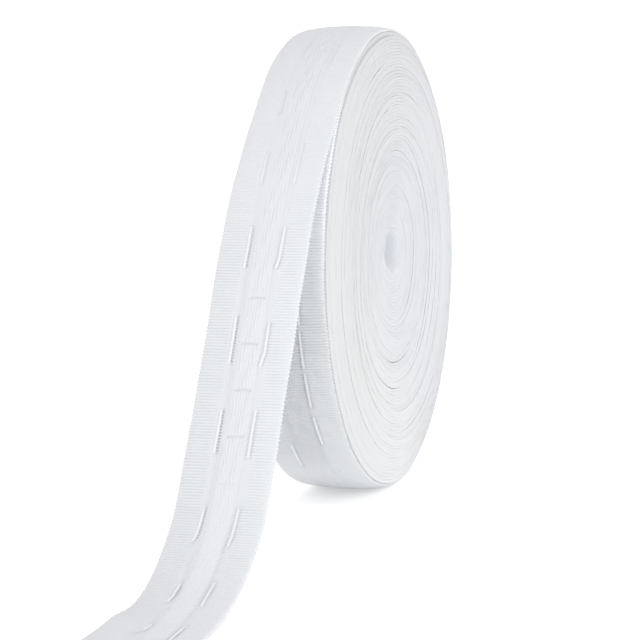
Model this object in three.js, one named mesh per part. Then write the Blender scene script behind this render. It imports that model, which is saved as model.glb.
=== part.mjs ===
import * as THREE from 'three';

// Roll of curtain heading tape, in millimetres, +Z up.
// The roll stands on a small flat spot with its axis along X. The loose end leaves it at the
// front (-Y), comes down and runs out flat. The origin is the middle of the flat spot.

// The tape
const TAPE_WIDTH = 25;
const TAPE_THICKNESS = 1.1;
const POCKET_PITCH = 13.1;
const POCKET_BAND_LEFT = -2;
const POCKET_BAND_RIGHT = 3;
const POCKET_BAND_RAISE = 0.2;
const POCKET_BAND_SLOPE = 0.2;
const POCKET_LINE_HALF = 0.7;
const POCKET_STATIONS = [0.28, 0.5, 0.72];
const CORD_LINES = { left: -4.5, right: 5 };

// The draw cords, oval in section, which show on the face for every other pocket
const CORD_WIDTH = 0.8;
const CORD_HEIGHT = 0.45;
const CORD_SIDES = 8;
const CORD_STEPS_A_POCKET = 4;
const CORD_SHOWN_LENGTH = 12.6;
const CORD_SHOWN_RISE = 0.1;
const CORD_HIDDEN_RISE = -0.4;
const CORD_RAMP_HALF = 1;
const GROOVE_WIDTH = 1.5;
const GROOVE_SLOPE = 0.1;
const GROOVE_DEPTH = 0.7;

// The roll
const ROLL_RADIUS = 69;
const CROWN = 1;
const CROWN_POWER = 2.5;
const FLAT_DEPTH = 0.7;
const LIFT_OFF_ANGLE = 48;
const CLEARANCE = 0.3;
const COLUMNS = 102;
const RING_SKEW_ANGLE = 1.2;
const FLOAT_COLUMNS = 6;
const FLOAT_RISE = 0.4;
const FLOAT_HALF_WIDTH = 0.6;
const SHOULDER = 9;
const CENTRE_AHEAD = 1.15;
const CENTRE_ABOVE = 4.2;
const HUB_OVAL = 0.09;

// Winding: how far the edges of the turns stand out (+X) on each side of the roll
const RINGS = [
  { radius: 66.4, front: 0.5, top: 1.3, back: 0.6, bottom: 0.5 },
  { radius: 63.5, front: 1.2, top: 2.1, back: 1.2, bottom: 1.3 },
  { radius: 60.8, front: 1.5, top: 2.4, back: 1.8, bottom: 1.7 },
  { radius: 58, front: 2.6, top: 2.2, back: 2.5, bottom: 2.2 },
  { radius: 54.5, front: 2.7, top: 3.3, back: 2.8, bottom: 2.9 },
  { radius: 50.5, front: 3.0, top: 2.2, back: 3.1, bottom: 2.3 },
  { radius: 46, front: 1.9, top: 2.6, back: 1.9, bottom: 2.4 },
  { radius: 42, front: 2.1, top: 2.3, back: 2.1, bottom: 1.9 },
  { radius: 38.5, front: 1.6, top: 1.9, back: 1.9, bottom: 1.0 },
  { radius: 35, front: 1.8, top: 1.8, back: 1.2, bottom: 1.9 },
  { radius: 31, front: 1.1, top: 0.7, back: 1.5, bottom: 0.6 },
  { radius: 27, front: 1.3, top: 1.2, back: 1.3, bottom: 1.5 },
  { radius: 22, front: 0.4, top: 0.8, back: 0.4, bottom: 0.8 },
  { radius: 17, front: 0.6, top: 0.7, back: 0.6, bottom: 0.3 },
  { radius: 11.5, front: 0.1, top: -0.1, back: 0.4, bottom: 0.3 },
  { radius: 6.8, front: 0.0, top: 0.0, back: -0.4, bottom: -0.1 },
];

// Path of the loose end's underside: distance ahead of the roll's axis, height above the surface
const PATH = [
  { ahead: 62.7, height: 103.2 },
  { ahead: 73.2, height: 91.2 },
  { ahead: 82.6, height: 78.4 },
  { ahead: 91.1, height: 64.9 },
  { ahead: 99.4, height: 51.2 },
  { ahead: 108, height: 37.8 },
  { ahead: 117, height: 24.4 },
  { ahead: 122.3, height: 18 },
  { ahead: 128.6, height: 12.5 },
  { ahead: 135.4, height: 8 },
  { ahead: 143, height: 4.6 },
  { ahead: 150.8, height: 2.4 },
  { ahead: 158.9, height: 0.9 },
  { ahead: 167, height: 0.2 },
  { ahead: 174, height: 0 },
  { ahead: 194, height: 0 },
  { ahead: 214, height: 0 },
];
const TANGENT_RUN = 9;
const PATH_SAMPLES = 900;
const CAP_BOW = 0.05;
const CROWN_FADE_LENGTH = 45;

// Values worked out from the sizes
const HALF_WIDTH = TAPE_WIDTH / 2;
const STEP_HEIGHT = TAPE_THICKNESS + CLEARANCE;
const BOTTOM_TURN = (270 - LIFT_OFF_ANGLE) / 360;
const AXIS_HEIGHT = ROLL_RADIUS + CROWN - STEP_HEIGHT * BOTTOM_TURN - FLAT_DEPTH;
const COLUMN_ANGLE = 360 / COLUMNS;

function radians(degrees) {
  return THREE.MathUtils.degToRad(degrees);
}

// How far the middle of the tape bulges past its edges, at x across the tape
function crownAt(x) {
  const share = Math.min(Math.abs(x) / HALF_WIDTH, 1);
  return CROWN * (1 - share ** CROWN_POWER);
}

// A point of the roll at a radius and an angle above the front. The turns' centre shifts and
// they grow oval as the radius shrinks: fully at radius zero, hardly at all near the rim
function rollPoint(x, radius, angle) {
  const inward = Math.max(1 - radius / ROLL_RADIUS, 0) ** 3;
  const oval = HUB_OVAL * inward;
  const ahead = CENTRE_AHEAD * inward + radius * (1 + oval) * Math.cos(radians(angle));
  const above = CENTRE_ABOVE * inward + radius * (1 - oval) * Math.sin(radians(angle));
  return [x, -ahead, Math.max(AXIS_HEIGHT + above, 0)];
}

// The stand-out of a ring's edge at an angle, from its four values
function edgeOffset(ring, angle) {
  const mean = (ring.front + ring.top + ring.back + ring.bottom) / 4;
  const along = (ring.front - ring.back) / 2;
  const across = (ring.top - ring.bottom) / 2;
  const twofold = (ring.front + ring.back - ring.top - ring.bottom) / 4;
  const turn = radians(angle);
  return mean + along * Math.cos(turn) + across * Math.sin(turn) + twofold * Math.cos(2 * turn);
}

function geometryFrom(positions, triangles) {
  const geometry = new THREE.BufferGeometry();
  geometry.setAttribute('position', new THREE.Float32BufferAttribute(positions.flat(), 3));
  geometry.setIndex(triangles.flat());
  geometry.computeVertexNormals();
  return geometry;
}

// A node's mesh with its own matt textile material
function clothMesh(name, geometry, colour, roughness) {
  const material = new THREE.MeshStandardMaterial({ color: colour, roughness, metalness: 0 });
  const mesh = new THREE.Mesh(geometry, material);
  mesh.name = name;
  return mesh;
}

// Places across the tape on the roll's outer surface, from the far edge to the near edge
function rollCrossPlaces() {
  const places = [{ x: -HALF_WIDTH, cord: false }, { x: -SHOULDER, cord: false }];
  for (const line of [CORD_LINES.left, CORD_LINES.right]) {
    places.push({ x: line - FLOAT_HALF_WIDTH, cord: false });
    places.push({ x: line, cord: true });
    places.push({ x: line + FLOAT_HALF_WIDTH, cord: false });
  }
  places.push({ x: SHOULDER, cord: false }, { x: HALF_WIDTH, cord: false });
  return places;
}

// The wound roll: a spiral outline one step high where the loose end leaves it, two faces
// of uneven rings, and the hole in the middle
function rollGeometry() {
  const positions = [];
  const triangles = [];
  const places = rollCrossPlaces();

  // Outer surface: one more column than the rings, because the last lies below the step
  const outer = [];
  for (let column = 0; column <= COLUMNS; column += 1) {
    const turn = column * COLUMN_ANGLE;
    const inPattern = column % FLOAT_COLUMNS;
    const cordShows = column < COLUMNS && (inPattern <= 1 || inPattern === FLOAT_COLUMNS - 1);
    const radius = ROLL_RADIUS - STEP_HEIGHT * turn / 360;
    const row = places.map(({ x, cord }) => {
      const rise = crownAt(x) + (cord && cordShows ? FLOAT_RISE : 0);
      positions.push(rollPoint(x, radius + rise, LIFT_OFF_ANGLE + turn));
      return positions.length - 1;
    });
    outer.push(row);
  }
  for (let column = 0; column < COLUMNS; column += 1) {
    addStrip(triangles, outer[column], outer[column + 1]);
  }
  addStrip(triangles, outer[COLUMNS], outer[0]);

  // Faces: rings inward from the rim, each with its own stand-out
  const faceRings = [1, -1].map((side) => RINGS.map((ring) => {
    const row = [];
    for (let column = 0; column < COLUMNS; column += 1) {
      const angle = LIFT_OFF_ANGLE + RING_SKEW_ANGLE + column * COLUMN_ANGLE;
      const x = side * HALF_WIDTH + edgeOffset(ring, angle);
      positions.push(rollPoint(x, ring.radius, angle));
      row.push(positions.length - 1);
    }
    return row;
  }));
  faceRings.forEach((rings, face) => {
    const near = face === 0;
    const rim = outer.map((row) => (near ? row[row.length - 1] : row[0]));
    addRimStrip(triangles, rim, rings[0], near);
    for (let index = 1; index < rings.length; index += 1) {
      addRingStrip(triangles, rings[index - 1], rings[index], near);
    }
  });

  // Hole: from the near face's innermost ring to the far face's
  const last = RINGS.length - 1;
  addRingStrip(triangles, faceRings[0][last], faceRings[1][last], true);
  return geometryFrom(positions, triangles);
}

// Two triangles for each pair of neighbours in two rows of equal length
function addStrip(triangles, first, second) {
  for (let index = 0; index < first.length - 1; index += 1) {
    triangles.push([first[index], first[index + 1], second[index + 1]]);
    triangles.push([first[index], second[index + 1], second[index]]);
  }
}

// A band between two closed rings of equal length, the first one outside
function addRingStrip(triangles, outside, inside, facingNear) {
  const count = outside.length;
  for (let index = 0; index < count; index += 1) {
    const next = (index + 1) % count;
    addFacing(triangles, [outside[index], outside[next], inside[next]], facingNear);
    addFacing(triangles, [outside[index], inside[next], inside[index]], facingNear);
  }
}

// The band between the stepped rim and the first ring, with one more triangle at the step
function addRimStrip(triangles, rim, ring, facingNear) {
  const count = ring.length;
  for (let index = 0; index < count; index += 1) {
    const next = (index + 1) % count;
    addFacing(triangles, [rim[index], rim[index + 1], ring[next]], facingNear);
    addFacing(triangles, [rim[index], ring[next], ring[index]], facingNear);
  }
  addFacing(triangles, [rim[count], rim[0], ring[0]], facingNear);
}

function addFacing(triangles, [a, b, c], facingNear) {
  triangles.push(facingNear ? [a, c, b] : [a, b, c]);
}

// The loose end's path: straight on from the roll at the lift-off, then through the table
function loosePath() {
  const turn = radians(LIFT_OFF_ANGLE);
  const radius = ROLL_RADIUS - TAPE_THICKNESS;
  const start = new THREE.Vector2(radius * Math.cos(turn), AXIS_HEIGHT + radius * Math.sin(turn));
  const along = new THREE.Vector2(Math.sin(turn), -Math.cos(turn));
  const points = [CLEARANCE, TANGENT_RUN].map((run) => {
    const point = start.clone().addScaledVector(along, run);
    return new THREE.Vector3(0, -point.x, point.y);
  });
  PATH.forEach(({ ahead, height }) => points.push(new THREE.Vector3(0, -ahead, height)));
  const curve = new THREE.CatmullRomCurve3(points, false, 'centripetal');
  curve.arcLengthDivisions = PATH_SAMPLES;
  return curve;
}

// A point on the path's underside with its outward direction, at a run along the tape
function pathFrame(curve, length, run) {
  const share = THREE.MathUtils.clamp(run / length, 0, 1);
  const point = curve.getPointAt(share);
  const tangent = curve.getTangentAt(share);
  point.z = Math.max(point.z, 0);
  return { point, outward: new THREE.Vector3(0, tangent.z, -tangent.y) };
}

// Triangles that fill a section. It is bowed a little first, so that points that lie on one
// straight line are kept
function capTriangles(section) {
  const outline = section.map(([x, height]) => {
    const bow = CAP_BOW * (1 - (x / HALF_WIDTH) ** 2);
    return new THREE.Vector2(x, height + bow);
  });
  return THREE.ShapeUtils.triangulateShape(outline, []);
}

// A closed sweep of a section along the path: each station has a run and a section, whose
// points have a place across the tape and a height above the underside
function sweep(curve, stations) {
  const length = curve.getLength();
  const positions = [];
  const triangles = [];
  const rows = stations.map(({ run, section }) => {
    const { point, outward } = pathFrame(curve, length, run);
    return section.map(([x, height]) => {
      const place = point.clone().addScaledVector(outward, height);
      positions.push([x, place.y, Math.max(place.z, 0)]);
      return positions.length - 1;
    });
  });
  const count = rows[0].length;
  for (let index = 1; index < rows.length; index += 1) {
    for (let corner = 0; corner < count; corner += 1) {
      const next = (corner + 1) % count;
      triangles.push([rows[index - 1][corner], rows[index - 1][next], rows[index][next]]);
      triangles.push([rows[index - 1][corner], rows[index][next], rows[index][corner]]);
    }
  }
  const first = rows[0];
  capTriangles(stations[0].section).forEach(([a, b, c]) => {
    triangles.push([first[a], first[c], first[b]]);
  });
  const last = rows[rows.length - 1];
  capTriangles(stations[stations.length - 1].section).forEach(([a, b, c]) => {
    triangles.push([last[a], last[b], last[c]]);
  });
  return geometryFrom(positions, triangles);
}

// How much of the roll's crown the loose end still has at a run
function crownShare(run) {
  return 1 - THREE.MathUtils.smoothstep(run, 0, CROWN_FADE_LENGTH);
}

// The loose end's section: flat underside, a groove for each cord, a raised pocket band
function tapeSection(run, bandRaise) {
  const top = [[-HALF_WIDTH, 0]];
  const groove = (line) => {
    const half = GROOVE_WIDTH / 2;
    top.push([line - half, 0], [line - half + GROOVE_SLOPE, -GROOVE_DEPTH]);
    top.push([line + half - GROOVE_SLOPE, -GROOVE_DEPTH], [line + half, 0]);
  };
  groove(CORD_LINES.left);
  top.push([POCKET_BAND_LEFT, 0], [POCKET_BAND_LEFT + POCKET_BAND_SLOPE, bandRaise]);
  top.push([POCKET_BAND_RIGHT - POCKET_BAND_SLOPE, bandRaise], [POCKET_BAND_RIGHT, 0]);
  groove(CORD_LINES.right);
  top.push([HALF_WIDTH, 0]);
  const crown = crownShare(run);
  const upper = top.map(([x, rise]) => [x, TAPE_THICKNESS + rise + crown * crownAt(x)]);
  const under = [CORD_LINES.right, 0, CORD_LINES.left].map((x) => [x, crown * crownAt(x)]);
  return [...upper, [HALF_WIDTH, 0], ...under, [-HALF_WIDTH, 0]].reverse();
}

// The loose end, with a line across the pocket band at every pocket
function looseEndGeometry(curve) {
  const length = curve.getLength();
  const half = POCKET_LINE_HALF;
  const stations = [{ run: 0, section: tapeSection(0, POCKET_BAND_RAISE) }];
  const addStation = (run, raise) => {
    if (run > half && run < length - half) {
      stations.push({ run, section: tapeSection(run, raise) });
    }
  };
  for (let pocket = 0; pocket * POCKET_PITCH < length + POCKET_PITCH; pocket += 1) {
    const line = pocket * POCKET_PITCH;
    addStation(line - half, POCKET_BAND_RAISE);
    addStation(line, 0);
    addStation(line + half, POCKET_BAND_RAISE);
    POCKET_STATIONS.forEach((share) => addStation(line + POCKET_PITCH * share, POCKET_BAND_RAISE));
  }
  stations.push({ run: length, section: tapeSection(length, POCKET_BAND_RAISE) });
  return sweep(curve, stations);
}

// Height of the cord's underside above the tape's face: up where it shows, down between
function cordRise(run) {
  const period = 2 * POCKET_PITCH;
  const fromMiddle = Math.abs(run - period * Math.round(run / period));
  const rampStart = CORD_SHOWN_LENGTH / 2 - CORD_RAMP_HALF;
  const rampEnd = CORD_SHOWN_LENGTH / 2 + CORD_RAMP_HALF;
  const sunk = THREE.MathUtils.smoothstep(fromMiddle, rampStart, rampEnd);
  return THREE.MathUtils.lerp(CORD_SHOWN_RISE, CORD_HIDDEN_RISE, sunk);
}

// One draw cord, oval, from the roll to the cut end
function drawCordGeometry(curve, line) {
  const length = curve.getLength();
  const step = POCKET_PITCH / CORD_STEPS_A_POCKET;
  const stations = [];
  const steps = Math.ceil(length / step);
  for (let index = 0; index <= steps; index += 1) {
    const run = Math.min(index * step, length);
    const middle = TAPE_THICKNESS + cordRise(run) + CORD_HEIGHT / 2;
    const lift = middle + crownShare(run) * crownAt(line);
    const section = [];
    for (let side = 0; side < CORD_SIDES; side += 1) {
      const turn = 2 * Math.PI * (side + 0.5) / CORD_SIDES;
      section.push([line + CORD_WIDTH / 2 * Math.cos(turn), lift + CORD_HEIGHT / 2 * Math.sin(turn)]);
    }
    stations.push({ run, section });
  }
  return sweep(curve, stations);
}

const path = loosePath();
const roll = new THREE.Group();
roll.add(clothMesh('tape_roll', rollGeometry(), 0xdfe1e2, 0.85));
roll.add(clothMesh('loose_end', looseEndGeometry(path), 0xe4e6ec, 0.85));
roll.add(clothMesh('draw_cord_left', drawCordGeometry(path, CORD_LINES.left), 0xf2f3f7, 0.6));
roll.add(clothMesh('draw_cord_right', drawCordGeometry(path, CORD_LINES.right), 0xf2f3f7, 0.6));

export default roll;
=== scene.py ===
import math

import bpy
import numpy as np
from mathutils import Matrix, Vector


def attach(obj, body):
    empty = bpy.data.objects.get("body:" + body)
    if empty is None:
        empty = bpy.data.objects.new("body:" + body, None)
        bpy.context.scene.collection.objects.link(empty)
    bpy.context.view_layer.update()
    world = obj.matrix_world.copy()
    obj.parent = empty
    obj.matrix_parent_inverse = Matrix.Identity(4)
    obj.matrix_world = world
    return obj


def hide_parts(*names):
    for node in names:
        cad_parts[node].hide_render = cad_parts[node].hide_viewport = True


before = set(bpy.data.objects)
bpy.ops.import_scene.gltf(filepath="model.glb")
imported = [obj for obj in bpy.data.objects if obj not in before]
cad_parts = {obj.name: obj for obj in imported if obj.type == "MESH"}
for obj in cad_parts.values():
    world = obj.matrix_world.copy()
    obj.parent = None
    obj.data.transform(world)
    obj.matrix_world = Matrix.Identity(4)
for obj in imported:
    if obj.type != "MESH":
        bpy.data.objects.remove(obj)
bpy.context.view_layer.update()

# Roll of curtain heading tape. Sizes are in millimetres until a mesh is made, in the frame
# of the solids: X along the roll's axis, -Y ahead, Z up.
MM = 0.001

# The tape. Places across it go from -12.5 at its left edge to 12.5 at its right one
TAPE_WIDTH = 25.0
HALF_WIDTH = TAPE_WIDTH / 2
TAPE_THICKNESS = 1.1
SHEET_THICKNESS = 0.8
POCKET_PITCH = 13.1
POCKET_BAND = (-2.0, 3.0)
CORD_LINES = {"left": -4.5, "right": 5.0}

# Its weave
RIB_PITCH = 0.84
RIB_DEPTH = 0.11
RIDGE_PITCH = 0.84
RIDGE_DEPTH = 0.12
CROSS_LINE_WIDTH = 0.32
CROSS_LINE_DEPTH = 0.25
DOT_PITCH = 0.8
DOT_DEPTH = 0.2
STRIP_GROOVE_AT = 3.75
STRIP_GROOVE_DEPTH = 0.12
PLEAT_PITCH = 2.1
PLEAT_DEPTH = 0.06
SELVEDGE_PITCH = 1.12
SELVEDGE_LOOP = 0.16

# Light and shade painted into its colour, and its lighter pocket band
GROOVE_SHADE = 0.45
GROOVE_DARKEST = 0.72
RIDGE_LIGHTEST = 1.05
BAND_LIGHT = 0.025
UNDER_SHADE = 0.07
WEDGE_LIGHT = 0.28
WEDGE_FADE = (25.0, 75.0)

# The draw cords, and the channel and the pits beside each
CORD_WIDTH = 0.8
CORD_HEIGHT = 0.45
CORD_SIDES = 10
CORD_STEP = 0.35
STRANDS = 3
STRAND_DEPTH = 0.1
LAY_LENGTH = 2.6
SHOWN_DEPTH = 0.12
HIDDEN_DEPTH = 0.6
CHANNEL_HALF_WIDTH = 0.5
PIT_OFFSET = 0.7
PIT_WIDTH = 0.26

# The roll. Its tread bulges by the crown and is flat where it stands. Towards the hub the
# turns' centre drifts ahead and up, and they turn a little oval
ROLL_RADIUS = 69.0
CROWN = 1.0
FLAT_DEPTH = 0.7
LIFT_OFF_ANGLE = 48.0
CLEARANCE = 0.3
STEP_HEIGHT = TAPE_THICKNESS + CLEARANCE
AXIS_HEIGHT = ROLL_RADIUS + CROWN - STEP_HEIGHT * (270 - LIFT_OFF_ANGLE) / 360 - FLAT_DEPTH
CENTRE_AHEAD = 1.15
CENTRE_ABOVE = 4.2
HUB_OVAL = 0.09
TURN_PITCH = 0.92
WINDING_STEP = 1.05
HUB_RADIUS = 7.0
CONTACT_GAP = 0.05
FLOOR_CLEARANCE = 0.15
SECOND_RADIUS = ROLL_RADIUS - STEP_HEIGHT - SHEET_THICKNESS - CONTACT_GAP
OUTER_LENGTH = 2 * math.pi * (ROLL_RADIUS - STEP_HEIGHT / 2)

# The outer turn's end comes up against the loose end, over these degrees of the turn
END_RISE = STEP_HEIGHT - SHEET_THICKNESS - CONTACT_GAP
END_RISE_FROM = 318.0
END_RISE_TO = 358.0

# A run is a distance along the tape: 0 at the lift-off, positive along the loose end and
# negative back over the top. Between these two the outer turn comes out in front, below
# the loose end, where its ribs go right across
UNDER_FADE = (-320.0, -300.0)

# Runs where the ribs get four rows of points each, elsewhere two
FINE_RUNS = [(-OUTER_LENGTH, -300.0), (-120.0, 205.0)]
ROW_MARKS = [-300.0, -120.0, 205.0]

# How far the turns lie towards the near face: radius, then the distance in front, at the
# top, at the back and at the bottom
RINGS = np.array([
    (69.0, 0.0, 0.0, 0.0, 0.0),
    (66.4, 0.5, 1.3, 0.6, 0.5),
    (63.5, 1.2, 2.1, 1.2, 1.3),
    (60.8, 1.5, 2.4, 1.8, 1.7),
    (58.0, 2.6, 2.2, 2.5, 2.2),
    (54.5, 2.7, 3.3, 2.8, 2.9),
    (50.5, 3.0, 2.2, 3.1, 2.3),
    (46.0, 1.9, 2.6, 1.9, 2.4),
    (42.0, 2.1, 2.3, 2.1, 1.9),
    (38.5, 1.6, 1.9, 1.9, 1.0),
    (35.0, 1.8, 1.8, 1.2, 1.9),
    (31.0, 1.1, 0.7, 1.5, 0.6),
    (27.0, 1.3, 1.2, 1.3, 1.5),
    (22.0, 0.4, 0.8, 0.4, 0.8),
    (17.0, 0.6, 0.7, 0.6, 0.3),
    (11.5, 0.1, -0.1, 0.4, 0.3),
    (6.8, 0.0, 0.0, -0.4, -0.1),
])

# Places where a turn has drawn away from the next one: radius, angle, half-length in
# degrees, and how wide the gap is
GAPS = [
    (60.5, 70.0, 12.0, 0.2),
    (53.6, 63.0, 11.0, 0.16),
    (50.3, 111.0, 14.0, 0.14),
    (49.4, -100.0, 12.0, 0.09),
    (45.0, -104.0, 24.0, 0.1),
    (39.6, -75.0, 28.0, 0.13),
    (32.7, 74.0, 38.0, 0.12),
    (31.8, -80.0, 40.0, 0.15),
    (8.8, 178.0, 60.0, 0.3),
]

# Where each draw cord lies on the face: the first and last run of each stretch. On the
# outer turn they come at every second pocket, and the right cord's last ones at every one
EVERY_SECOND = 2 * POCKET_PITCH
FLOATS = {
    "left": [(-2.5, 6.5), (20.0, 31.0), (44.0, 57.0), (70.5, 84.5), (97.0, 109.5),
             (124.0, 135.5), (149.5, 158.5), (169.5, 178.5), (195.0, 207.0), (222.0, 234.0)],
    "right": [(17.0, 31.0), (44.0, 57.0), (72.0, 85.0), (97.0, 110.5), (124.0, 136.5),
              (148.5, 160.0), (170.0, 183.0), (196.0, 208.0), (222.0, 234.0)],
}
FLOATS["left"] += [(-33.1 - EVERY_SECOND * k, -20.5 - EVERY_SECOND * k) for k in range(15)]
FLOATS["right"] += [(-26.0 - EVERY_SECOND * k, -15.0 - EVERY_SECOND * k) for k in range(6)]
FLOATS["right"] += [(-333.6 + EVERY_SECOND * k, -321.5 + EVERY_SECOND * k) for k in range(7)]
FLOATS["right"] += [(-427.0 + POCKET_PITCH * k, -415.2 + POCKET_PITCH * k) for k in range(7)]

# A cord's ends dip in more slowly past this run, where the tape bends at its foot
DIP = 0.9
FOOT_DIP = 1.9
FOOT_RUN = 120.0

# Where a cord wanders sideways, and where it stands off the tape: run, distance
CORD_DRIFT = {
    "left": [(131.0, 0.0), (133.5, -0.2), (136.0, -1.0), (139.0, 0.0), (148.0, 0.5),
             (152.0, 0.8), (156.0, 0.8), (158.0, 0.1), (160.0, -0.8), (163.0, 0.0),
             (168.0, 0.5), (172.0, 0.8), (176.0, 0.2), (179.0, -1.0), (182.0, 0.0)],
    "right": [(54.0, 0.0), (57.0, -0.6), (60.0, 0.0), (81.0, 0.0), (85.0, -0.8), (88.0, 0.0),
              (133.0, 0.0), (137.0, -0.5), (140.0, 0.0), (170.0, 0.0), (182.0, -0.4),
              (186.0, 0.0)],
}
CORD_LIFT = {
    "left": [(149.0, 0.0), (154.0, 0.22), (159.0, 0.0), (169.0, 0.0), (174.0, 0.2), (179.0, 0.0)],
    "right": [(148.0, 0.0), (154.0, 0.12), (160.0, 0.0), (170.0, 0.0), (176.0, 0.12), (183.0, 0.0)],
}

# Unevenness of the wound edges: distance between crests, and height. Each turn also has
# its own stand-out and depth of groove, smooth over a number of points
WINDING_WAVES = [(3.1, 0.012), (4.1, 0.028), (5.3, 0.045), (7.4, 0.075), (10.5, 0.1)]
WAVE_LOBES = 6
OWN_STAND = 0.048
OWN_WIDTH = 50
FINE_STAND = 0.025
FINE_WIDTH = 1
GROOVE_WIDTH = 30
GAP_FADE_TURNS = 5.0

# A turn's rounded corner: how far in from its edge, and share of its thickness below it
CORNER = [(0.0, 0.5), (0.015, 0.2), (0.06, 0.04), (0.4, 0.0)]

# Columns of a turn's section on the near face, the far face and its inner side, how much
# the faces' shading is smoothed, and how much painted light lightens the lining of the hole
NEAR_COLUMNS = [5, 6, 7, 8, 9]
FAR_COLUMNS = [0, 1, 2, 12, 13]
INNER_COLUMNS = [10, 11]
FACE_SMOOTHING = 0.74
HOLE_LIGHT = 1.42

# Path of the loose end's underside: distance ahead of the roll's axis, height. It starts
# straight, and the roll's bulge fades out along it
PATH = [
    (62.7, 103.2), (73.2, 91.2), (82.6, 78.4), (91.1, 64.9), (99.4, 51.2), (108.0, 37.8),
    (117.0, 24.4), (122.3, 18.0), (128.6, 12.5), (135.4, 8.0), (143.0, 4.6), (150.8, 2.4),
    (158.9, 0.9), (167.0, 0.2), (174.0, 0.0), (194.0, 0.0), (214.0, 0.0),
]
TANGENT_RUN = 9.0
CROWN_FADE_LENGTH = 45.0

# The curl of its left side at the foot: runs over which it rises and falls, and its height
CURL_RISE = (158.0, 176.0)
CURL_FALL = (190.0, 214.0)
CURL_HEIGHT = 3.0

# The camera, placed from the roll's axis
CAMERA_FROM_AXIS = (203.11, -651.18, 90.48)
CAMERA_FORWARD = (-0.308815, 0.937986, -0.157528)
CAMERA_ROLL = -1.9323
CAMERA_LENS = 127.95
SENSOR_WIDTH = 36.0

# The studio in metres: the floor, then each lamp's name, place, size and power
FLOOR_REACH = 40.0
FLOOR_COLOUR = (0.95, 0.95, 0.95, 1)
FLOOR_GLOW = 0.24
WORLD_STRENGTH = 0.92
LIGHTS = [
    ("key", (0.0, -1.6, 0.5), 0.7, 7.0),
    ("fill", (1.8, 0.15, 0.7), 0.9, 8.6),
]
LIGHTS_AIM = (0, 0, 0.05)
WHITE = (1, 1, 1, 1)

# Colours of the cloth, and the share of them that its darkest yarns have
TAPE_COLOUR = (0.70, 0.715, 0.738)
# painted shade: the wound faces get a darker copy of the tape's colour
WOUND_SHADED_COLOUR = (0.65, 0.66, 0.673)
CORD_COLOUR = (0.76, 0.775, 0.80)
YARN_SHADE = 0.955

SEED = 7195


# Camera
def make_camera():
    """The camera of the photo's view, fixed in the room."""
    data = bpy.data.cameras.new("camera")
    data.lens = CAMERA_LENS
    data.sensor_width = SENSOR_WIDTH
    data.clip_start = 0.05
    data.clip_end = 20.0
    camera = bpy.data.objects.new("camera", data)
    bpy.context.scene.collection.objects.link(camera)
    forward = Vector(CAMERA_FORWARD).normalized()
    right = forward.cross(Vector((0, 0, 1))).normalized()
    up = right.cross(forward)
    roll = math.radians(CAMERA_ROLL)
    across = right * math.cos(roll) + up * math.sin(roll)
    upward = up * math.cos(roll) - right * math.sin(roll)
    turned = Matrix((across, upward, -forward)).transposed().to_4x4()
    place = Vector(CAMERA_FROM_AXIS) + Vector((0, 0, AXIS_HEIGHT))
    camera.matrix_world = Matrix.Translation(place * MM) @ turned
    bpy.context.scene.camera = camera


# Shape helpers
def smoothstep(value, low, high):
    """0 up to the low value, 1 from the high one, and a soft step between."""
    share = np.clip((value - low) / (high - low), 0.0, 1.0)
    return share * share * (3 - 2 * share)


def crown_at(x):
    """How much the roll's tread bulges at a place across it."""
    return CROWN * (1 - np.minimum(np.abs(x) / HALF_WIDTH, 1.0) ** 2.5)


def roll_point(x, radius, angle):
    """Points of the roll from radius and angle above the front, in degrees."""
    turn = np.radians(angle)
    inward = np.maximum(1 - radius / ROLL_RADIUS, 0) ** 3
    oval = HUB_OVAL * inward
    ahead = CENTRE_AHEAD * inward + radius * (1 + oval) * np.cos(turn)
    above = CENTRE_ABOVE * inward + radius * (1 - oval) * np.sin(turn)
    x, ahead, above = np.broadcast_arrays(x, ahead, above)
    return np.stack([x, -ahead, AXIS_HEIGHT + above], axis=-1)


def ring_offset(radius, angle):
    """How far a turn lies towards the near face, from the table."""
    order = RINGS[::-1]
    front, top, back, bottom = (
        np.interp(radius, order[:, 0], order[:, column]) for column in range(1, 5)
    )
    turn = np.radians(angle)
    mean = (front + top + back + bottom) / 4
    twofold = (front + back - top - bottom) / 4
    return (
        mean + (front - back) / 2 * np.cos(turn) + (top - bottom) / 2 * np.sin(turn)
        + twofold * np.cos(2 * turn)
    )


def grid_normals(points):
    """Vertex normals of rows of points round a closed section, from their neighbours."""
    along = np.gradient(points, axis=0)
    across = (np.roll(points, -1, axis=1) - np.roll(points, 1, axis=1)) / 2
    normals = np.cross(across, along)
    return normals / np.maximum(np.linalg.norm(normals, axis=2, keepdims=True), 1e-12)


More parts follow.
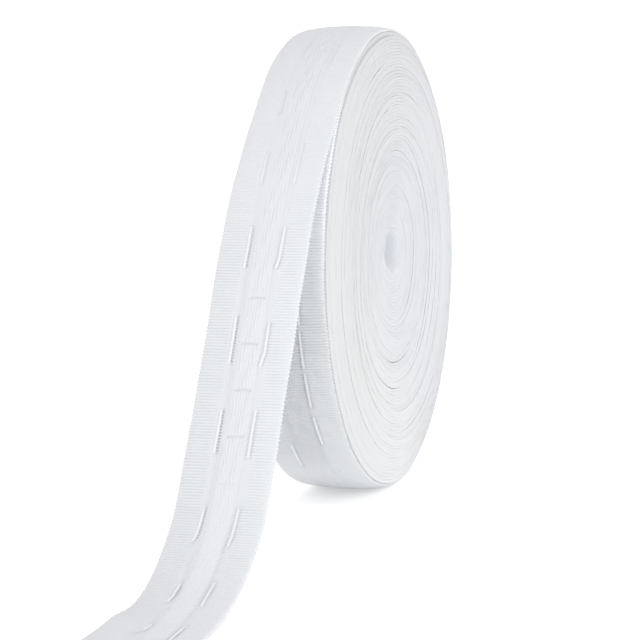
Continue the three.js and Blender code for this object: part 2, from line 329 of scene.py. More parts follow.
def grid_object(name, points, uv, normals=None, tint=None):
    """A closed mesh from rows of points along the tape, each round a closed section, with
    a cap on the first and the last row."""
    rows, columns = points.shape[:2]
    index = np.arange(rows * columns).reshape(rows, columns)
    index = np.concatenate([index, index[:, :1]], axis=1)
    quads = np.stack(
        [index[:-1, :-1], index[:-1, 1:], index[1:, 1:], index[1:, :-1]], axis=-1
    ).reshape(-1, 4)
    sizes = np.concatenate([np.full(len(quads), 4), [columns, columns]])
    first_cap = index[0, :-1][::-1]
    last_cap = index[-1, :-1]
    corners = np.concatenate([quads.reshape(-1), first_cap, last_cap])
    mesh = bpy.data.meshes.new(name)
    mesh.vertices.add(rows * columns)
    mesh.vertices.foreach_set("co", (points * MM).astype(np.float32).reshape(-1))
    mesh.loops.add(len(corners))
    mesh.loops.foreach_set("vertex_index", corners.astype(np.int32))
    mesh.polygons.add(len(sizes))
    starts = np.concatenate([[0], np.cumsum(sizes)[:-1]])
    mesh.polygons.foreach_set("loop_start", starts.astype(np.int32))
    mesh.polygons.foreach_set("use_smooth", np.ones(len(sizes), dtype=bool))
    mesh.update(calc_edges=True)
    layer = mesh.uv_layers.new(name="tape")
    layer.data.foreach_set("uv", uv.reshape(-1, 2)[corners].astype(np.float32).reshape(-1))
    if tint is not None:
        colours = mesh.color_attributes.new("tint", "FLOAT_COLOR", "POINT")
        full = np.ones((rows * columns, 4), dtype=np.float32)
        full[:, :3] = tint.reshape(-1, 3)
        colours.data.foreach_set("color", full.reshape(-1))
    if normals is not None:
        mesh.normals_split_custom_set_from_vertices(normals.reshape(-1, 3).tolist())
    mesh.validate()
    made = bpy.data.objects.new(name, mesh)
    bpy.context.scene.collection.objects.link(made)
    return made


# The tape's face
def cord_shown(run, name):
    """1 where a draw cord lies on the face, 0 where it is inside the tape."""
    shown = np.zeros_like(run)
    for start, end in FLOATS[name]:
        dip = FOOT_DIP if start > FOOT_RUN else DIP
        part = smoothstep(run, start - dip, start + dip)
        part = part * (1 - smoothstep(run, end - dip, end + dip))
        shown = np.maximum(shown, part)
    return shown


def cord_table(table, run):
    """What a table of runs and distances gives at each run."""
    return np.interp(run, [row[0] for row in table], [row[1] for row in table])


def rib_phase(run, x):
    """Where a place lies in its rib, as an angle. The ribs lean and wander a little."""
    lean = 0.35 * np.sin(run / 17.0 + 1.3) + 0.3 * np.sin(run / 5.3) - 0.03 * x
    return 2 * np.pi * run / RIB_PITCH + lean


def rib_height(run, x, phase, under):
    """Cross ribs, left of the left cord and right of the right one. On the under turn they
    go right across."""
    left = 1 - smoothstep(x, -5.7, -5.3)
    right = smoothstep(x, 5.8, 6.2) * (1 - 0.55 * smoothstep(x, 9.5, 11.9))
    ribbed = np.maximum(left + right, under)
    uneven = 1 + 0.25 * np.sin(run / 3.1 + 0.5 * x) * np.sin(run / 1.9 - 0.8 * x)
    return RIB_DEPTH * np.cos(phase) * (ribbed * uneven)


def dot_height(x, phase):
    """Rows of small dots between the left cord and the pocket band."""
    strip = smoothstep(x, -3.9, -3.6) * (1 - smoothstep(x, -2.3, -2.0))
    dot = np.clip(np.cos(phase) * np.cos(2 * np.pi * x / DOT_PITCH), 0, 1)
    return strip * (0.04 - DOT_DEPTH * dot)


def band_height(run, x):
    """The pocket band with its lengthwise ridges and crossing lines. Both are clearest on
    the middle of the loose end."""
    band_left, band_right = POCKET_BAND
    band = smoothstep(x, band_left, band_left + 0.25)
    band = band * (1 - smoothstep(x, band_right - 0.25, band_right))
    wave = 0.9 * np.sin(2 * np.pi * run / 7.1) + 0.7 * np.sin(2 * np.pi * run / 3.3 + 0.9 * x)
    ridge = np.cos(2 * np.pi * (x - band_left) / RIDGE_PITCH + 0.45 * wave)
    uneven = 0.7 + 0.3 * np.sin(run / 2.3 + 2.1 * x)
    strong = uneven * (1 - 0.65 * smoothstep(run, 112.0, 135.0))
    middle = (band_left + band_right) / 2
    half = (band_right - band_left) / 2
    bow = -0.2 * (1 - ((x - middle) / half) ** 2)
    nearest = POCKET_PITCH * np.round((run - bow) / POCKET_PITCH)
    line = np.exp(-(((run - bow - nearest) / CROSS_LINE_WIDTH) ** 2))
    clear = smoothstep(run, 52.0, 62.0) * (1 - smoothstep(run, 108.0, 124.0))
    line = line * (0.15 + 0.85 * clear)
    return band * (0.03 + RIDGE_DEPTH * ridge * strong * (1 - line) - CROSS_LINE_DEPTH * line)


def strip_height(run, x, phase):
    """The plain strip between the band and the right cord, with one fine groove, and with
    slanting pleats where the tape bends at its foot."""
    groove = np.exp(-(((x - STRIP_GROOVE_AT) / 0.16) ** 2)) * (0.7 + 0.3 * np.cos(phase))
    foot = smoothstep(run, 126.0, 136.0) * (1 - smoothstep(run, 176.0, 188.0))
    strip = smoothstep(x, 2.9, 3.2) * (1 - smoothstep(x, 4.2, 4.5))
    pleat = 1 + np.cos(2 * np.pi * (run + 1.2 * x) / PLEAT_PITCH)
    return -STRIP_GROOVE_DEPTH * groove - PLEAT_DEPTH * foot * strip * pleat


def channel_height(run, x, name, phase, clear, under):
    """The channel of one cord, with a row of pits beside it. The right one also has a fine
    groove on its other side."""
    shown = cord_shown(run, name)
    pits = np.clip(0.5 - 0.75 * np.cos(phase), 0, 1)
    off = x - CORD_LINES[name] - cord_table(CORD_DRIFT[name], run)
    height = -np.exp(-((off / CHANNEL_HALF_WIDTH) ** 4)) * (0.04 + 0.13 * shown)
    pit = np.exp(-(((off - PIT_OFFSET) / PIT_WIDTH) ** 2))
    depth = (0.05 + 0.5 * shown) if name == "left" else (0.03 + 0.32 * shown)
    height = height - depth * (1 - 0.6 * under) * pit * pits * clear
    if name == "right":
        groove = np.exp(-(((off + 0.72) / 0.2) ** 2))
        height = height - groove * clear * (0.06 + 0.3 * shown * pits)
    return height


def face_relief(run, x):
    """Height of the woven face over a plain one. The weave is faint near the lift-off."""
    phase = rib_phase(run, x)
    under = 1 - smoothstep(run, *UNDER_FADE)
    clear = 0.4 + 0.6 * smoothstep(run, 25.0, 60.0) + 0.7 * under
    height = clear * (rib_height(run, x, phase, under) + dot_height(x, phase))
    height = height + band_height(run, x) + strip_height(run, x, phase)
    for name in CORD_LINES:
        height = height + channel_height(run, x, name, phase, clear, under)
    return height


def face_places():
    """Places across the tape, close together where the weave is fine."""
    places = [-12.42, -12.2, -11.6, -9.5, -7.5, -6.1, -5.6, -5.3, -5.0, -4.75, -4.5, -4.2]
    places += [-4.05, -3.9, -3.75, -3.6, -3.4, -3.2, -3.0, -2.8, -2.6, -2.4, -2.2]
    places += list(np.round(np.arange(-2.0, 3.01, 0.25), 3))
    places += [3.4, 3.6, 3.75, 3.9, 4.1, 4.35, 4.55, 4.75, 5.0, 5.3, 5.45, 5.6, 5.75, 5.95]
    places += [6.3, 8.0, 9.2, 10.2, 11.2, 11.9, 12.25, 12.42]
    return np.array(places)


def selvedge(run, side):
    """Sideways stand-out of the tape's edge: a row of small loops, and a slow wander."""
    loops = SELVEDGE_LOOP * np.cos(2 * np.pi * run / SELVEDGE_PITCH + side)
    wander = 0.09 * np.sin(run / 11.0 + 2 * side) + 0.06 * np.sin(run / 4.1 + side)
    return loops + wander


def tape_section(run):
    """Across positions and heights over the underside of one closed section of the tape,
    for each run: its face from left to right, then its underside back. The height leaves
    out the crown."""
    places = face_places()
    run = run[:, None]
    face_x = np.repeat(places[None, :], len(run), axis=0)
    relief = face_relief(run, places[None, :])
    rounding = 0.25 * smoothstep(np.abs(places), 12.0, 12.45)
    face_height = SHEET_THICKNESS + relief - rounding[None, :]
    share = np.sign(face_x) * smoothstep(np.abs(face_x), 11.0, 12.4)
    right_loops = selvedge(run, 1.0)
    left_loops = selvedge(run, -1.0)
    face_x = face_x + share * np.where(face_x > 0, right_loops, left_loops)
    # the underside: each edge is rounded in three points, with three more in between
    half = SHEET_THICKNESS / 2
    edge = [(0.0, half), (0.01, 0.06), (0.06, 0.0)]
    under = [(HALF_WIDTH + right_loops - inset, height) for inset, height in edge]
    under += [(0 * run + place, 0.0) for place in (5.0, 0.0, -5.0)]
    under += [(-HALF_WIDTH - left_loops + inset, height) for inset, height in edge[::-1]]
    under_x = [place for place, _ in under]
    under_height = [0 * run + height for _, height in under]
    return (np.concatenate([face_x, *under_x], axis=1),
            np.concatenate([face_height, *under_height], axis=1))


def path_points():
    """The loose end's path: points and outward directions for a run along it."""
    turn = math.radians(LIFT_OFF_ANGLE)
    radius = ROLL_RADIUS - TAPE_THICKNESS
    start = np.array([radius * math.cos(turn), AXIS_HEIGHT + radius * math.sin(turn)])
    along = np.array([math.sin(turn), -math.cos(turn)])
    knots = [start, start + along * TANGENT_RUN] + [np.array(place) for place in PATH]
    knots = np.array(knots)
    return spline(knots, along)


def spline(knots, first_direction):
    """A smooth curve through the knots, sampled finely: distance along it and points."""
    before = knots[0] - first_direction * TANGENT_RUN
    after = 2 * knots[-1] - knots[-2]
    full = np.vstack([before, knots, after])
    steps = np.linspace(0, 1, 60, endpoint=False)[:, None]
    pieces = []
    for index in range(1, len(full) - 2):
        p0, p1, p2, p3 = full[index - 1: index + 3]
        t0 = 0.0
        t1 = t0 + np.linalg.norm(p1 - p0) ** 0.5
        t2 = t1 + np.linalg.norm(p2 - p1) ** 0.5
        t3 = t2 + np.linalg.norm(p3 - p2) ** 0.5
        t = t1 + (t2 - t1) * steps
        a1 = (t1 - t) / (t1 - t0) * p0 + (t - t0) / (t1 - t0) * p1
        a2 = (t2 - t) / (t2 - t1) * p1 + (t - t1) / (t2 - t1) * p2
        a3 = (t3 - t) / (t3 - t2) * p2 + (t - t2) / (t3 - t2) * p3
        b1 = (t2 - t) / (t2 - t0) * a1 + (t - t0) / (t2 - t0) * a2
        b2 = (t3 - t) / (t3 - t1) * a2 + (t - t1) / (t3 - t1) * a3
        pieces.append((t2 - t) / (t2 - t1) * b1 + (t - t1) / (t2 - t1) * b2)
    pieces.append(full[-2][None, :])
    points = np.vstack(pieces)
    steps_long = np.linalg.norm(np.diff(points, axis=0), axis=1)
    return np.concatenate([[0], np.cumsum(steps_long)]), points


def loose_frame(run):
    """Underside point and outward direction of the loose end at each run."""
    distance, points = path_points()
    ahead = np.interp(run, distance, points[:, 0])
    above = np.interp(run, distance, points[:, 1])
    slope = np.gradient(points, distance, axis=0)
    tangent_a = np.interp(run, distance, slope[:, 0])
    tangent_z = np.interp(run, distance, slope[:, 1])
    length = np.hypot(tangent_a, tangent_z)
    point = np.stack([np.zeros_like(run), -ahead, np.maximum(above, 0)], axis=-1)
    outward = np.stack([np.zeros_like(run), tangent_z / length, tangent_a / length], axis=-1)
    return point, outward


def crown_share(run):
    """How much of the roll's bulge the loose end keeps at a run along it."""
    return 1 - smoothstep(run, 0.0, CROWN_FADE_LENGTH)


def wound_frame(run):
    """Underside point and outward direction of the outer turn. The run is negative and
    counts back from the lift-off, over the top and round."""
    turn = -run / OUTER_LENGTH * 360
    radius = ROLL_RADIUS - TAPE_THICKNESS - STEP_HEIGHT * turn / 360
    # its end comes up against the loose end, which leaves the roll there
    radius = radius + END_RISE * smoothstep(turn, END_RISE_FROM, END_RISE_TO)
    angle = LIFT_OFF_ANGLE + turn
    point = roll_point(0.0, radius, angle)
    wide = np.radians(angle)
    outward = np.stack([np.zeros_like(run), -np.cos(wide), np.sin(wide)], axis=-1)
    return point, outward


def foot_curl(run, x):
    """How far the left side of the loose end curls up where it meets the floor."""
    along = smoothstep(run, *CURL_RISE) * (1 - smoothstep(run, *CURL_FALL))
    return CURL_HEIGHT * along * smoothstep(-x, 1.0, HALF_WIDTH + 2.0)


def tape_frame(run):
    """Underside point and outward direction of the tape at each run, on the roll or on the
    loose end, and how far its sheet lies above that underside."""
    loose_point, loose_out = loose_frame(np.maximum(run, 0))
    wound_point, wound_out = wound_frame(np.minimum(run, 0))
    on_roll = (run < 0)[:, None]
    point = np.where(on_roll, wound_point, loose_point)
    outward = np.where(on_roll, wound_out, loose_out)
    lift = (TAPE_THICKNESS - SHEET_THICKNESS) * crown_share(run)
    return point, outward, lift


def tape_points(run):
    """Points of the tape's closed section at each run."""
    x, height = tape_section(run)
    point, outward, lift = tape_frame(run)
    crown = crown_share(run)[:, None] * crown_at(x)
    total = height + lift[:, None] + crown + foot_curl(run[:, None], x)
    points = point[:, None, :] + outward[:, None, :] * total[..., None]
    points[..., 0] = x
    points[..., 2] = flatten(points[..., 2], height)
    return points


def flatten(z, height):
    """Presses what would lie below the floor flat on it, keeping some of its thickness."""
    floor = 0.25 * np.clip(SHEET_THICKNESS - height, 0, SHEET_THICKNESS)
    return np.where(z < floor, floor + 0.02 * (z - floor), z).clip(0.0)


def tape_rows(runs):
    """Runs at which the tape has a row of points, with two more rows past each end."""
    marks = [runs[0]] + [mark for mark in ROW_MARKS if runs[0] < mark < runs[1]] + [runs[1]]
    rows = []
    for start, end in zip(marks[:-1], marks[1:]):
        middle = (start + end) / 2
        fine = any(low < middle < high for low, high in FINE_RUNS)
        step = RIB_PITCH / (4 if fine else 2)
        count = int(round((end - start) / step))
        rows.append(start + (end - start) * np.arange(count) / count)
    rows = np.concatenate(rows + [[runs[1]]])
    first = rows[1] - rows[0]
    last = rows[-1] - rows[-2]
    return np.concatenate([
        [rows[0] - 2 * first, rows[0] - first], rows, [rows[-1] + last, rows[-1] + 2 * last]
    ])


def tape_uv(run, x):
    """Texture places in metres: along the tape, and across it."""
    return np.stack([np.repeat(run[:, None], x.shape[1], axis=1), x], axis=-1) * MM


def tape_piece(name, runs):
    """One stretch of the detailed tape between two runs."""
    run = tape_rows(runs)
    points = tape_points(run)
    x, _ = tape_section(run)
    uv = tape_uv(run, x)
    normals = grid_normals(points)
    inside = slice(2, -2)
    tint = tape_tint(run, x)
    return grid_object(name, points[inside], uv[inside], normals[inside], tint[inside])


def tape_tint(run, x):
    """Painted shade in the weave's grooves and a faint painted highlight on its ridges,
    painted light on the loose end's right side, a little lighter pocket band, and painted
    shade on the band of the under turn, where the loose end shades it."""
    run = run[:, None]
    relief = face_relief(run, x)
    # painted shade in the grooves and a faint painted highlight on the ridges, from the relief
    shade = np.clip(1 + GROOVE_SHADE * (relief - 0.03), GROOVE_DARKEST, RIDGE_LIGHTEST)
    # painted light: the loose end gets lighter towards its right side
    shade = shade * (1 + smoothstep(run, 0.0, 80.0) * (0.01 + 0.035 * x / HALF_WIDTH))
    band = smoothstep(x, -4.0, -3.0) * (1 - smoothstep(x, 3.0, 4.0))
    shade = shade * (1 + BAND_LIGHT * band * smoothstep(run, 110.0, 140.0))
    under = 1 - smoothstep(run, *UNDER_FADE)
    # painted shade on the band of the under turn, below the loose end
    shade = shade * (1 - UNDER_SHADE * under * (1 - smoothstep(x, 4.2, 5.2)))
    # painted light where the loose end leaves the roll, standing in for light that comes
    # through the thin cloth into the wedge: on the under turn, and on the five points of the
    # loose end's underside that lie flat
    wedge = 1 - smoothstep(np.abs(run + OUTER_LENGTH), *WEDGE_FADE)
    under_column = np.arange(x.shape[1]) - len(face_places())
    underside = (under_column > 1) & (under_column < 7)
    wedge = wedge + underside * (run >= 0) * (1 - smoothstep(run, *WEDGE_FADE))
    shade = shade * (1 + WEDGE_LIGHT * wedge)
    return np.repeat(shade[..., None], 3, axis=-1)


# Draw cords
def cord_piece(name, runs, line_name, side):
    """A twisted cord laid along the tape between two runs. Where it doesn't show it is
    thinner and lies inside the tape, and it is fainter near the lift-off."""
    count = int(round((runs[1] - runs[0]) / CORD_STEP))
    run = np.linspace(runs[0], runs[1], count + 1)
    line = CORD_LINES[line_name]
    point, outward, lift = tape_frame(run)
    crown = crown_share(run) * crown_at(np.array(line))
    plain = smoothstep(run, 20.0, 50.0) + 1 - smoothstep(run, *UNDER_FADE)
    shown = cord_shown(run, line_name) * (0.6 + 0.4 * plain)
    depth = HIDDEN_DEPTH * (1 - shown) + SHOWN_DEPTH * shown
    centre = SHEET_THICKNESS - depth + lift + crown + cord_table(CORD_LIFT[line_name], run)
    turn = 2 * np.pi * np.arange(CORD_SIDES) / CORD_SIDES
    half_width = (0.3 + 0.7 * shown) * CORD_WIDTH / 2
    half_height = (0.45 + 0.55 * shown) * CORD_HEIGHT / 2
    twist = turn[None, :] + 2 * np.pi * run[:, None] / LAY_LENGTH
    strands = 1 + STRAND_DEPTH * np.cos(STRANDS * twist)
    drift = 0.05 * np.sin(run / 3.7 + side) + cord_table(CORD_DRIFT[line_name], run)
    x = line + drift[:, None] + half_width[:, None] * strands * np.cos(turn)[None, :]
    height = centre[:, None] + half_height[:, None] * strands * np.sin(turn)[None, :]
    points = point[:, None, :] + outward[:, None, :] * height[..., None]
    points[..., 0] = x
    points[..., 2] = np.maximum(points[..., 2], 0.0)
    return grid_object(name, points[:, ::-1], tape_uv(run, x))


# Windings
def gap_shift(turn, angle):
    """How far a turn is drawn inward by the gaps outside it, from its place along the
    spiral in whole turns and its angle."""
    shift = np.zeros_like(turn)
    for gap_radius, gap_angle, half_length, width in GAPS:
        off = (angle - gap_angle + 180) % 360 - 180
        along = np.clip(1 - (off / half_length) ** 2, 0, 1)
        start = (gap_angle - LIFT_OFF_ANGLE) / 360
        here = np.round(turn - off / 360 - start)
        gap = 1 + (SECOND_RADIUS - gap_radius) / TURN_PITCH - start
        inside = here - np.round(gap)
        fade = np.where(inside >= 0, np.exp(-inside / GAP_FADE_TURNS), 0)
        shift = shift + width * along * fade
    return shift


def wave_list(rng):
    """Seeded waves of the turns' edges over the face: length, lobes, phase and height."""
    waves = []
    for wavelength, size in WINDING_WAVES:
        for lobes in range(WAVE_LOBES):
            phase = rng.uniform(0, 2 * np.pi)
            weight = size * rng.uniform(0.3, 0.9)
            waves.append((wavelength, lobes * rng.choice([-1, 1]), phase, weight))
    return waves


def face_stand(waves, radius, angle):
    """How far the wound face stands out at a radius and angle."""
    total = ring_offset(radius, angle)
    for wavelength, lobes, phase, weight in waves:
        turn = 2 * np.pi * radius / wavelength + lobes * np.radians(angle) + phase
        total = total + weight * np.cos(turn)
    return total


def face_normals(waves, radius, angle, side):
    """Directions of the wound face as one smooth surface, on the near or the far side."""
    step = 0.4
    turn = np.radians(angle)
    outward = face_stand(waves, radius + step, angle) - face_stand(waves, radius - step, angle)
    outward = outward / (2 * step)
    ahead = np.degrees(step / np.maximum(radius, 5.0))
    round_it = face_stand(waves, radius, angle + ahead) - face_stand(waves, radius, angle - ahead)
    round_it = round_it / (2 * step)
    normals = np.stack([
        np.full_like(radius, 1.0),
        outward * np.cos(turn) - round_it * np.sin(turn),
        -outward * np.sin(turn) - round_it * np.cos(turn),
    ], axis=-1) * side
    return normals / np.linalg.norm(normals, axis=-1, keepdims=True)


def smooth_noise(rng, count, width):
    """Seeded noise, smooth over a given number of points, with a spread of 1."""
    raw = rng.normal(size=count + 6 * width)
    kernel = np.exp(-0.5 * (np.arange(-3 * width, 3 * width + 1) / width) ** 2)
    smooth = np.convolve(raw, kernel / kernel.sum(), mode="same")[3 * width: 3 * width + count]
    return smooth / max(smooth.std(), 1e-9)


def wound_radius(turn):
    """Outer radius of the spiral: the first turn lies close under the outer turn, then it
    shrinks by one pitch a turn. It swells a little where the outer turn's end rises."""
    under = ROLL_RADIUS - SHEET_THICKNESS - CONTACT_GAP - STEP_HEIGHT * turn
    radius = np.where(turn < 1, under, SECOND_RADIUS - TURN_PITCH * (turn - 1))
    swell = smoothstep(turn, END_RISE_FROM / 360, END_RISE_TO / 360)
    return radius + END_RISE * swell * (1 - smoothstep(turn, 1.0, 1.1))


def turn_section(near, near_in, far, far_in, groove):
    """Across positions of one turn's closed section, and each point's share of the turn's
    thickness, from the far edge over the outer side to the near edge and back inside.
    The edges slant from their outer to their inner corners, and the groove says how deep
    the corners are rounded in each row."""
    inner = [(offset, 1 - drop) for offset, drop in CORNER[1:]]
    across = []
    drops = []
    for offset, drop in CORNER:
        across.append(far + (far_in - far) * drop + offset * groove)
        drops.append(drop)
    for offset, drop in CORNER[::-1] + inner:
        across.append(near + (near_in - near) * drop - offset * groove)
        drops.append(drop)
    for offset, drop in inner[::-1]:
        across.append(far + (far_in - far) * drop + offset * groove)
        drops.append(drop)
    return np.stack(across, axis=1), np.array(drops)


def spiral_turns():
    """Places along the spiral in turns, a short step apart, from its start to the hub."""
    last = 1 + (SECOND_RADIUS - HUB_RADIUS - TURN_PITCH) / TURN_PITCH
    turn = [0.0]
    while turn[-1] < last:
        radius = ROLL_RADIUS - STEP_HEIGHT - TURN_PITCH * turn[-1]
        turn.append(turn[-1] + WINDING_STEP / (2 * math.pi * radius))
    return np.array(turn), last


def wound_section(turn, radius, thickness, angle, waves, rng):
    """Across positions of each row of the spiral, and each point's share of the turn's
    thickness. The turns are even where the spiral starts, and uneven further in."""
    count = len(turn)
    own = smooth_noise(rng, count, OWN_WIDTH)
    own_far = smooth_noise(rng, count, OWN_WIDTH)
    fine = smooth_noise(rng, count, FINE_WIDTH)
    deep = smooth_noise(rng, count, GROOVE_WIDTH)
    stand = face_stand(waves, radius, angle)
    stand_in = face_stand(waves, radius - thickness, angle)
    share = smoothstep(turn, 0.0, 0.3)
    share_in = np.maximum(share, 0.3)
    uneven = OWN_STAND * own + FINE_STAND * fine
    uneven_far = OWN_STAND * own_far + FINE_STAND * fine
    near = HALF_WIDTH + (stand + uneven) * share
    near_in = HALF_WIDTH + (stand_in + uneven) * share_in
    far = -HALF_WIDTH + (stand + uneven_far) * share
    far_in = -HALF_WIDTH + (stand_in + uneven_far) * share_in
    groove = np.clip(0.7 + 0.6 * deep, 0.1, 1.6) * (0.35 + 0.65 * smoothstep(turn, 3.0, 12.0))
    return turn_section(near, near_in, far, far_in, groove)


def softened_normals(points, waves, radius, angle):
    """Normals of the spiral, on its two faces mixed with those of one smooth surface."""
    normals = grid_normals(points)
    for side, columns in ((1, NEAR_COLUMNS), (-1, FAR_COLUMNS)):
        smooth = face_normals(waves, radius, angle, side)[:, None, :]
        mixed = FACE_SMOOTHING * smooth + (1 - FACE_SMOOTHING) * normals[:, columns]
        normals[:, columns] = mixed / np.linalg.norm(mixed, axis=-1, keepdims=True)
    return normals


def wound_pieces():
    """The turns below the outer one, as one long spiral in three stretches. Gives each
    piece with its length of tape."""
    turn, last = spiral_turns()
    radius = wound_radius(turn)
    angle = LIFT_OFF_ANGLE + 360 * turn
    rng = np.random.default_rng(SEED)
    waves = wave_list(rng)
    thickness = radius - wound_radius(turn + 1)
    across, drops = wound_section(turn, radius, thickness, angle, waves, rng)
    outer = radius - gap_shift(turn, angle)
    radial = outer[:, None] - thickness[:, None] * drops[None, :]
    points = roll_point(across, radial, angle[:, None])
    points[..., 2] = np.maximum(points[..., 2], FLOOR_CLEARANCE)
    normals = softened_normals(points, waves, radius - thickness / 2, angle)
    steps = np.diff(turn) * 2 * np.pi * (radius[1:] + radius[:-1]) / 2
    length = np.concatenate([[0], np.cumsum(steps)])
    uv = tape_uv(-OUTER_LENGTH - length, across)
    tint = face_tint(radius[:, None], angle[:, None] % 360, across)
    # painted light: the inside of the last turn, which lines the hole, is lightened in its colour
    lining = smoothstep(turn, last - 1.0, last - 0.95)[:, None]
    tint[:, INNER_COLUMNS] *= 1 + (HOLE_LIGHT - 1) * lining[..., None]
    names = ("wound_turns_outer", "wound_turns_middle", "wound_turns_inner")
    cuts = length[-1] * np.arange(len(names) + 1) / len(names)
    rows = np.interp(cuts, length, np.arange(len(turn))).round().astype(int)
    pieces = []
    for name, low, high in zip(names, rows[:-1], rows[1:]):
        part = slice(low, high + 1)
        piece = grid_object(name, points[part], uv[part], normals[part], tint[part])
        pieces.append((piece, float(length[high] - length[low])))
    return pieces


def bell(value, middle, spread):
    """1 at the middle, and falling off smoothly on both sides."""
    return np.exp(-(((value - middle) / spread) ** 2))


def face_tint(radius, angle, across):
    """Painted light and shade on the wound faces: darker towards the top and low at the back,
    lighter and a little warm low in front, a little cool near the hub and at the back.
    """
    turn = np.radians(angle)
    ahead = radius * np.cos(turn) / ROLL_RADIUS
    above = radius * np.sin(turn) / ROLL_RADIUS
    high = np.clip(above, 0, 1)
    low = np.clip(-above, 0, 1)
    behind = np.clip(-ahead, 0, 1)
    warm = bell(ahead, 0.55, 0.4) * bell(above, -0.45, 0.6)
    cool = bell(radius, 18.0, 16.0) + 0.6 * bell(ahead, -0.55, 0.35)
    light = 1 - 0.075 * high - 0.06 * low * behind + 0.12 * low * bell(ahead, 0.15, 0.45)
    red = light * (1 + 0.003 * warm - 0.012 * cool)
    green = light * (1 + 0.001 * warm - 0.012 * cool)
    blue = light * (1 - 0.012 * warm + 0.008 * cool)
    tint = np.stack([red, green, blue], axis=-1)
    return np.repeat(tint, across.shape[1], axis=1)


# Materials
def node(tree, kind, **values):
    """A shader node whose keywords set its inputs of that name, or else its own settings.
    An underscore in a keyword stands for a space in an input's name."""
    made = tree.nodes.new(kind)
    for key, value in values.items():
        socket = key.replace("_", " ")
        if socket in made.inputs:
            made.inputs[socket].default_value = value
        else:
            setattr(made, key, value)
    return made


def yarn_pattern(tree):
    """Fine crossing yarns with some fuzz. The pattern's sizes are in millimetres, and the
    mesh gives its places in metres."""
    link = tree.links.new
    where = node(tree, "ShaderNodeUVMap", uv_map="tape")
    grow = node(tree, "ShaderNodeVectorMath", operation="SCALE", Scale=1 / MM)
    link(where.outputs["UV"], grow.inputs[0])
    along = node(tree, "ShaderNodeTexWave", wave_type="BANDS", bands_direction="X",
                 Scale=7.5, Distortion=1.2, Detail=2.0, Detail_Scale=2.0)
    across = node(tree, "ShaderNodeTexWave", wave_type="BANDS", bands_direction="Y",
                  Scale=9.5, Distortion=1.0, Detail=2.0)
    fuzz = node(tree, "ShaderNodeTexNoise", Scale=3.5, Detail=4.0, Roughness=0.6)
    for texture in (along, across, fuzz):
        link(grow.outputs[0], texture.inputs["Vector"])
    yarns = node(tree, "ShaderNodeMath", operation="MULTIPLY")
    link(along.outputs["Fac"], yarns.inputs[0])
    link(across.outputs["Fac"], yarns.inputs[1])
    pattern = node(tree, "ShaderNodeMath", operation="ADD")
    link(yarns.outputs[0], pattern.inputs[0])
    link(fuzz.outputs["Fac"], pattern.inputs[1])
    return pattern.outputs[0]


def cloth_material(name, colour, roughness, bump_height, use_tint):
    """White polyester: fine yarns along and across the tape, a soft sheen."""
    material = bpy.data.materials.new(name)
    material.use_nodes = True
    tree = material.node_tree
    link = tree.links.new
    tree.nodes.clear()
    out = node(tree, "ShaderNodeOutputMaterial")
    shader = node(tree, "ShaderNodeBsdfPrincipled", Roughness=roughness,
                  Specular_IOR_Level=0.25, Sheen_Weight=0.12, Sheen_Roughness=0.5)
    link(shader.outputs["BSDF"], out.inputs["Surface"])
    pattern = yarn_pattern(tree)
    bump = node(tree, "ShaderNodeBump", Strength=0.35, Distance=bump_height)
    link(pattern, bump.inputs["Height"])
    link(bump.outputs["Normal"], shader.inputs["Normal"])
    shade = node(tree, "ShaderNodeValToRGB")
    dark, light = shade.color_ramp.elements
    dark.position = 0.25
    light.position = 0.85
    dark.color = (*[part * YARN_SHADE for part in colour], 1)
    light.color = (*colour, 1)
    link(pattern, shade.inputs["Fac"])
    colour_out = shade.outputs["Color"]
    if use_tint:
        # the tint attribute carries painted light and shade, multiplied into the colour
        tint = node(tree, "ShaderNodeVertexColor", layer_name="tint")
        blend = node(tree, "ShaderNodeMix", data_type="RGBA", blend_type="MULTIPLY")
        blend.inputs["Factor"].default_value = 1.0
        link(colour_out, blend.inputs["A"])
        link(tint.outputs["Color"], blend.inputs["B"])
        colour_out = blend.outputs["Result"]
    link(colour_out, shader.inputs["Base Color"])
    return material


# Studio
def make_world():
    """Even white light from all sides, and a white background."""
    scene = bpy.context.scene
    scene.view_settings.view_transform = "Standard"
    scene.view_settings.look = "None"
    world = bpy.data.worlds.new("studio")
    scene.world = world
    world.use_nodes = True
    background = world.node_tree.nodes["Background"]
    background.inputs["Color"].default_value = WHITE
    background.inputs["Strength"].default_value = WORLD_STRENGTH


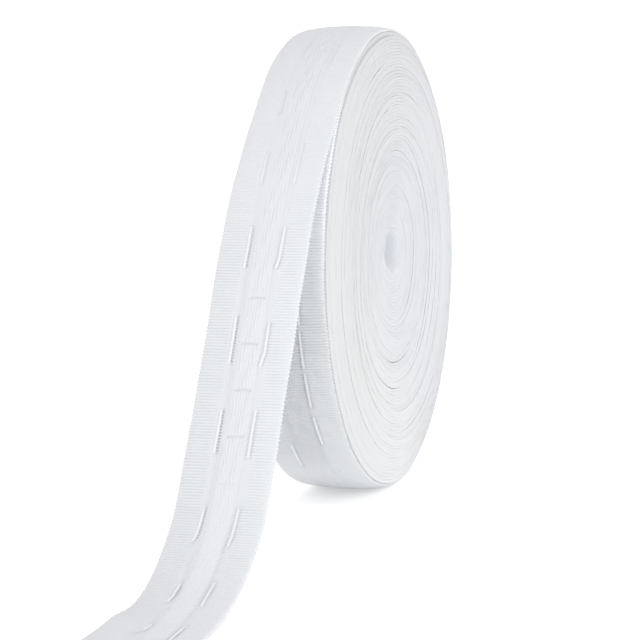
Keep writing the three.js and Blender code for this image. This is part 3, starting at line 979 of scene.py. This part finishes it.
def make_floor():
    """A wide pale floor that glows a little, so that it comes out white."""
    mesh = bpy.data.meshes.new("floor")
    far = FLOOR_REACH
    mesh.from_pydata([(-far, -far, 0), (far, -far, 0), (far, far, 0), (-far, far, 0)],
                     [], [(0, 1, 2, 3)])
    floor = bpy.data.objects.new("floor", mesh)
    bpy.context.scene.collection.objects.link(floor)
    material = bpy.data.materials.new("floor")
    material.use_nodes = True
    shader = material.node_tree.nodes["Principled BSDF"]
    shader.inputs["Base Color"].default_value = FLOOR_COLOUR
    shader.inputs["Roughness"].default_value = 0.9
    shader.inputs["Emission Color"].default_value = WHITE
    shader.inputs["Emission Strength"].default_value = FLOOR_GLOW
    mesh.materials.append(material)


def make_lights():
    """Round soft lamps, all aimed at one point low on the roll."""
    for name, place, size, power in LIGHTS:
        data = bpy.data.lights.new(name, "AREA")
        data.shape = "DISK"
        data.size = size
        data.energy = power
        lamp = bpy.data.objects.new(name, data)
        bpy.context.scene.collection.objects.link(lamp)
        lamp.location = place
        aim = Vector(LIGHTS_AIM) - Vector(place)
        lamp.rotation_mode = "QUATERNION"
        lamp.rotation_quaternion = aim.to_track_quat("-Z", "Y")


# The scene
make_camera()
make_world()
make_floor()
make_lights()

tape_material = cloth_material("woven_tape", TAPE_COLOUR, 0.75, 0.0001, True)
wound_material = cloth_material("wound_tape", WOUND_SHADED_COLOUR, 0.8, 0.0001, True)
cord_material = cloth_material("draw_cord", CORD_COLOUR, 0.5, 0.00005, False)

distance, _ = path_points()
loose_length = float(distance[-1])

loose = tape_piece("loose_end_cloth", (0.0, loose_length))
outer_top = tape_piece("outer_turn_top", (-OUTER_LENGTH / 2, 0.0))
outer_low = tape_piece("outer_turn_low", (-OUTER_LENGTH, -OUTER_LENGTH / 2))
for piece in (loose, outer_top, outer_low):
    piece.data.materials.append(tape_material)

cords = {}
for side, name in enumerate(CORD_LINES):
    cords[name] = cord_piece(f"draw_cord_{name}_loose", (0.0, loose_length), name, side)
    wound_name = f"draw_cord_{name}_wound"
    cords[f"{name}_wound"] = cord_piece(wound_name, (-OUTER_LENGTH, 0.0), name, side)
for piece in cords.values():
    piece.data.materials.append(cord_material)

wound = wound_pieces()
for piece, _ in wound:
    piece.data.materials.append(wound_material)

for piece in [loose, outer_top, outer_low, *cords.values(), *(made for made, _ in wound)]:
    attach(piece, "root")

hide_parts("loose_end")
for piece in (outer_top, outer_low, cords["left_wound"], cords["right_wound"]):
    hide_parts("tape_roll")
for piece, _ in wound:
    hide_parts("tape_roll")
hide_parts("draw_cord_left")
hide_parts("draw_cord_right")
